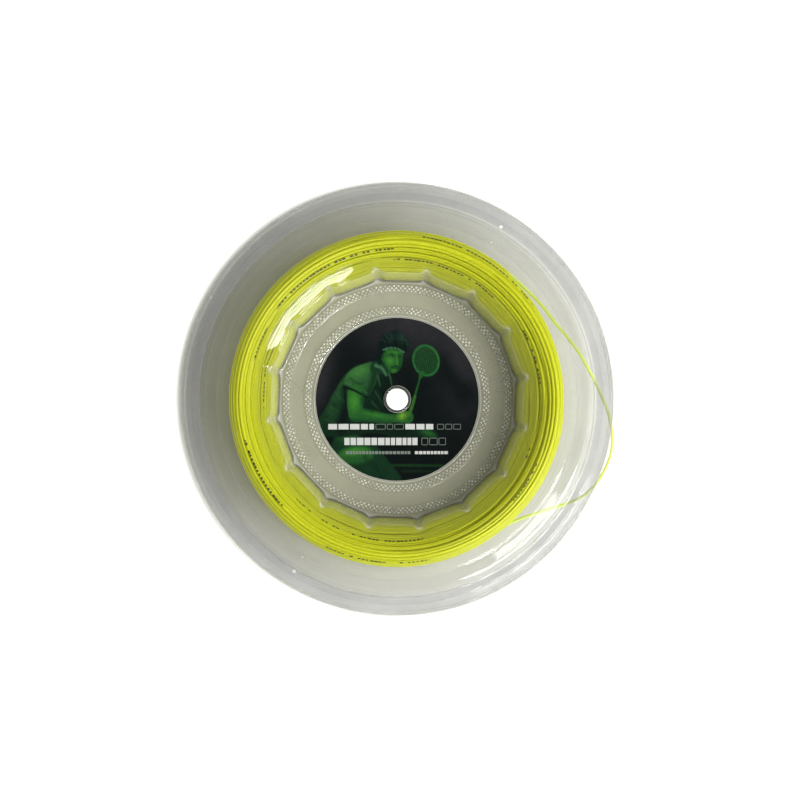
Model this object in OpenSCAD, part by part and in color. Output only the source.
// String reel: two clear moulded halves joined at their webs, a label on each side,
// a wound string and a loose loop of that string. The reel lies on its rear flange.
// The spindle axis is Z and the origin is at the bottom of the reel, on that axis.

/* [Reel] */
// Outer diameter of the flanges
reel_d = 165; // [150:1:180]
// Overall height from one flange's crest to the other's
reel_h = 58; // [50:1:66]
// Thickness of the flanges and the hub wall
wall = 1.8; // [1.2:0.1:2.4]

/* [Hub] */
// Distance from the axis to the hub's flat sides, measured inside at the web
hub_apothem = 46.3; // [44:0.1:47]
// Number of flat sides round the hub
hub_sides = 16; // [12:1:20]
// How far each corner nib stands beyond the flat sides' own corner
nib_h = 0.8; // [0.2:0.1:1.2]
// Growth of the hub's outline from the web to its mouth
hub_flare = 1.033; // [1.01:0.001:1.04]
// Thickness of each half's web
web_t = 2; // [1.5:0.1:3]

/* [Spindle hole] */
// Diameter of the spindle hole
bore_d = 8.6; // [8:0.1:10]
// Wall of the collar round the spindle hole
collar_wall = 0.8; // [0.6:0.1:1.5]
// Height of the collar above the web
collar_h = 1.6; // [0.8:0.1:3]

/* [Knurled rings] */
// Radius in the middle of the inner knurled ring
inner_knurl_r = 35.5; // [34:0.1:37]
// Radius in the middle of the outer knurled ring
outer_knurl_r = 44.2; // [43:0.1:44.5]
// Width of each knurled ring
knurl_w = 3.6; // [2:0.1:4]
// Height of each knurled ring above the web
knurl_h = 0.3; // [0.1:0.05:0.5]

/* [Labels] */
// Diameter of the labels
label_d = 65; // [60:0.5:66]
// Thickness of the labels
label_t = 0.25; // [0.1:0.05:0.4]

/* [String] */
// Diameter of the string
string_d = 1.18; // [1.05:0.01:1.35]
// Radius of the full winding, in the middle of its width
winding_r = 64.8; // [60:0.1:66]
// Diameter of the holes in the flanges for the string's end
end_hole_d = 1.5; // [1.4:0.1:2.5]

/* [Hidden] */
$fn = 180;

reel_r = reel_d / 2;
half_h = reel_h / 2;
bore_r = bore_d / 2;
collar_r = bore_r + collar_wall;

// Radii where the flange's front face changes slope, from the hub's mouth to the rim
mouth_r = 48.8;
inner_slope_r = 53.6;
crest_in_r = 55;
crest_out_r = 67;
step_r = 68.3;
step_foot_r = 72;
second_step_r = 73.2;
second_foot_r = 75.4;
groove_r = 78.2;
groove_foot_r = 79;
lip_in_r = reel_r - 1.9;
lip_r = reel_r - 1.6;
lip_out_r = reel_r - 0.4;

// Drops of the same places below the crest
mouth_drop = 2.4;
inner_slope_drop = 0.4;
step_drop = 0.3;
step_foot_drop = 1.8;
second_step_drop = 2;
second_foot_drop = 2.8;
groove_drop = 3.1;
groove_foot_drop = 3.4;
lip_foot_drop = 3.6;
lip_drop = 3.1;
rim_drop = 5.8;

// Hub cup
outline_steps = 10;
nib_spread = 1.7;
rib_phase = 9.5;
hub_depth = half_h - mouth_drop - web_t;
sector = 360 / hub_sides;
corner_r = hub_apothem / cos(sector / 2) + nib_h;

// Winding and tape stay this far off the hub
string_gap = 0.3;
tape_gap = 0.05;
tape_t = 0.15;
tape_half_w = 6;
tape_angle = 50;
face_gap = 0.3;

// String-end holes
end_hole_r = 76.5;
end_hole_angles = [59, 239];

// Middle of the reel
mid_z = half_h;

// Radius of the hub's outline at angle a. The flat sides meet in rounded nibs.
function flat_angle(a) = abs((a - rib_phase + 720) % sector - sector / 2);
function outline_r(a, grow) =
    let (t = flat_angle(a))
    (hub_apothem + grow) / cos(t) + nib_h * exp(-pow((t - sector / 2) / nib_spread, 2));
function hub_outline(grow) =
    [for (i = [0 : hub_sides * outline_steps - 1])
        let (a = rib_phase + i * sector / outline_steps)
        outline_r(a, grow) * [cos(a), sin(a)]];

// Radius that just clears the outside of the hub's nibs at height u from the middle
function hub_clear_r(u) =
    (corner_r + wall) * (1 + (hub_flare - 1) * max(0, u - web_t) / hub_depth);

// Drafted body with the hub's outline, from height u0 up past the mouth
module hub_body(grow, u0, u1) {
    flare = 1 + (hub_flare - 1) * (u1 - web_t) / hub_depth;
    foot = 1 + (hub_flare - 1) * (u0 - web_t) / hub_depth;
    translate([0, 0, u0])
        linear_extrude(height = u1 - u0, scale = flare / foot)
            scale(foot) polygon(hub_outline(grow));
}

// Stepped flange with its rim lip, heights measured from the middle of the reel
module flange() {
    top = half_h;
    rotate_extrude()
        polygon([
            [mouth_r - 3.5, top - mouth_drop - 1.5],
            [mouth_r, top - mouth_drop],
            [inner_slope_r, top - inner_slope_drop],
            [crest_in_r, top],
            [crest_out_r, top],
            [step_r, top - step_drop],
            [step_foot_r, top - step_foot_drop],
            [second_step_r, top - second_step_drop],
            [second_foot_r, top - second_foot_drop],
            [groove_r, top - groove_drop],
            [groove_foot_r, top - groove_foot_drop],
            [lip_in_r, top - lip_foot_drop],
            [lip_r, top - lip_drop],
            [lip_out_r, top - lip_drop],
            [reel_r, top - lip_drop - 0.4],
            [reel_r, top - rim_drop + 0.4],
            [lip_out_r, top - rim_drop],
            [lip_in_r, top - lip_foot_drop - wall],
            [groove_r, top - groove_drop - wall],
            [second_foot_r, top - second_foot_drop - wall],
            [step_foot_r, top - step_foot_drop - wall],
            [step_r - 0.3, top - step_drop - wall],
            [crest_out_r, top - wall],
            [crest_in_r - 0.7, top - wall],
            [mouth_r + 1.6, top - mouth_drop - wall],
            [mouth_r - 3.5, top - mouth_drop - 1.5 - wall]
        ]);
}

// Flat ring standing on the web
module web_ring(r, w, h) {
    translate([0, 0, web_t - 0.1])
        difference() {
            cylinder(r = r + w / 2, h = h + 0.1);
            translate([0, 0, -1]) cylinder(r = r - w / 2, h = h + 3);
        }
}

// One moulding, from the middle of the reel upwards
module reel_half() {
    difference() {
        union() {
            difference() {
                union() {
                    flange();
                    hub_body(wall, 0, half_h - mouth_drop - 0.4);
                }
                hub_body(0, web_t, half_h + 2);
            }
            web_ring(inner_knurl_r, knurl_w, knurl_h);
            web_ring(outer_knurl_r, knurl_w, knurl_h);
            cylinder(r = collar_r, h = web_t + collar_h);
        }
        translate([0, 0, -1]) cylinder(r = bore_r, h = web_t + collar_h + 2);
        for (a = end_hole_angles)
            rotate(a) translate([end_hole_r, 0, half_h / 2])
                cylinder(d = end_hole_d, h = half_h, $fn = 32);
    }
}

// Front half: upper moulding
module front_half() {
    color([0.86, 0.86, 0.82, 0.4])
        translate([0, 0, mid_z]) reel_half();
}

// Rear half: the same moulding facing down
module rear_half() {
    color([0.8, 0.81, 0.77, 0.4])
        translate([0, 0, mid_z]) mirror([0, 0, 1]) reel_half();
}

// Paper disc with a hole that clears the collar
module label_disc() {
    difference() {
        cylinder(d = label_d, h = label_t);
        translate([0, 0, -1]) cylinder(r = collar_r + 0.2, h = label_t + 2);
    }
}

module front_label() {
    color([0.06, 0.12, 0.1])
        translate([0, 0, mid_z + web_t]) label_disc();
}

module rear_label() {
    color([0.06, 0.12, 0.1])
        translate([0, 0, mid_z - web_t - label_t]) label_disc();
}

// Full winding: a ring that follows the hub inside and is slightly crowned outside
module string_winding() {
    face_u = half_h - wall - face_gap;
    foot_u = half_h - mouth_drop - wall - face_gap;
    foot_r = hub_clear_r(foot_u) + string_gap;
    waist_r = hub_clear_r(0) + string_gap;
    side = [
        [winding_r, 8],
        [winding_r - 0.3, 18],
        [winding_r - 0.8, face_u - 2],
        [winding_r - 1.6, face_u],
        [crest_in_r - 0.6, face_u],
        [foot_r, foot_u],
        [waist_r, web_t]
    ];
    under = [for (i = [len(side) - 1 : -1 : 0]) [side[i][0], -side[i][1]]];
    color([0.78, 0.83, 0.18])
        translate([0, 0, mid_z])
            rotate_extrude() polygon(concat(side, under));
}

// Curved strip of tape on the hub, across the seam between the halves
module start_tape() {
    foot = hub_clear_r(0) + tape_gap;
    edge = hub_clear_r(tape_half_w) + tape_gap;
    color([0.9, 0.9, 0.85])
        translate([0, 0, mid_z])
            rotate_extrude(angle = tape_angle)
                polygon([
                    [edge, -tape_half_w], [edge + tape_t, -tape_half_w],
                    [foot + tape_t, -web_t], [foot + tape_t, web_t],
                    [edge + tape_t, tape_half_w], [edge, tape_half_w],
                    [foot, web_t], [foot, -web_t]
                ]);
}

// Route of the loose string's centre line, from the upper right of the winding
// round past the rim and back into the winding at the lower right
string_route = [
    [44, 48.5, 41.5],
    [50.5, 42.5, 41.5],
    [56.5, 36.5, 41],
    [62, 29.5, 40],
    [67, 24, 38.5],
    [72, 17.5, 37],
    [76.5, 10, 35],
    [80, 3.5, 33],
    [83, -3, 31.5],
    [85, -9, 30],
    [86, -15.5, 28.5],
    [85.5, -22, 27],
    [83.5, -28, 25.5],
    [80, -34, 24.5],
    [75.5, -38.5, 23.5],
    [70, -41.5, 22.5],
    [64, -43.5, 22],
    [58, -45.5, 21.5],
    [52, -47.5, 21],
    [46, -50, 20.5],
    [39.5, -53.5, 20],
    [32.5, -57, 20],
    [25, -60.5, 20]
];
route_steps = 2;
tube_sides = 8;

// Catmull-Rom curve through the route's points
function route_point(i) = string_route[max(0, min(len(string_route) - 1, i))];
function curve(i, t) =
    let (a = route_point(i - 1), b = route_point(i), c = route_point(i + 1), d = route_point(i + 2))
    0.5 * (2 * b + (c - a) * t + (2 * a - 5 * b + 4 * c - d) * t * t + (3 * b - a - 3 * c + d) * t * t * t);
centres = concat(
    [for (i = [0 : len(string_route) - 2], k = [0 : route_steps - 1]) curve(i, k / route_steps)],
    [route_point(len(string_route) - 1)]
);
function unit(v) = v / norm(v);
function heading(i) = unit(centres[min(len(centres) - 1, i + 1)] - centres[max(0, i - 1)]);

// Ring of points round the centre line; side and up span its cross section
function ring(i, r) =
    let (side = unit(cross(heading(i), [0, 0, 1])), up = cross(side, heading(i)))
    [for (k = [0 : tube_sides - 1])
        let (a = k * 360 / tube_sides)
        centres[i] + r * (cos(a) * side + sin(a) * up)];

module loose_string() {
    rings = len(centres);
    points = [for (i = [0 : rings - 1]) each ring(i, string_d / 2)];
    sides = [for (i = [0 : rings - 2], k = [0 : tube_sides - 1])
        let (n = (k + 1) % tube_sides)
        [i * tube_sides + k, i * tube_sides + n, (i + 1) * tube_sides + n, (i + 1) * tube_sides + k]];
    start_cap = [for (k = [tube_sides - 1 : -1 : 0]) k];
    end_cap = [for (k = [0 : tube_sides - 1]) (rings - 1) * tube_sides + k];
    color([0.8, 0.85, 0.25])
        polyhedron(points, concat([start_cap], sides, [end_cap]));
}

front_half();
rear_half();
front_label();
rear_label();
string_winding();
start_tape();
loose_string();
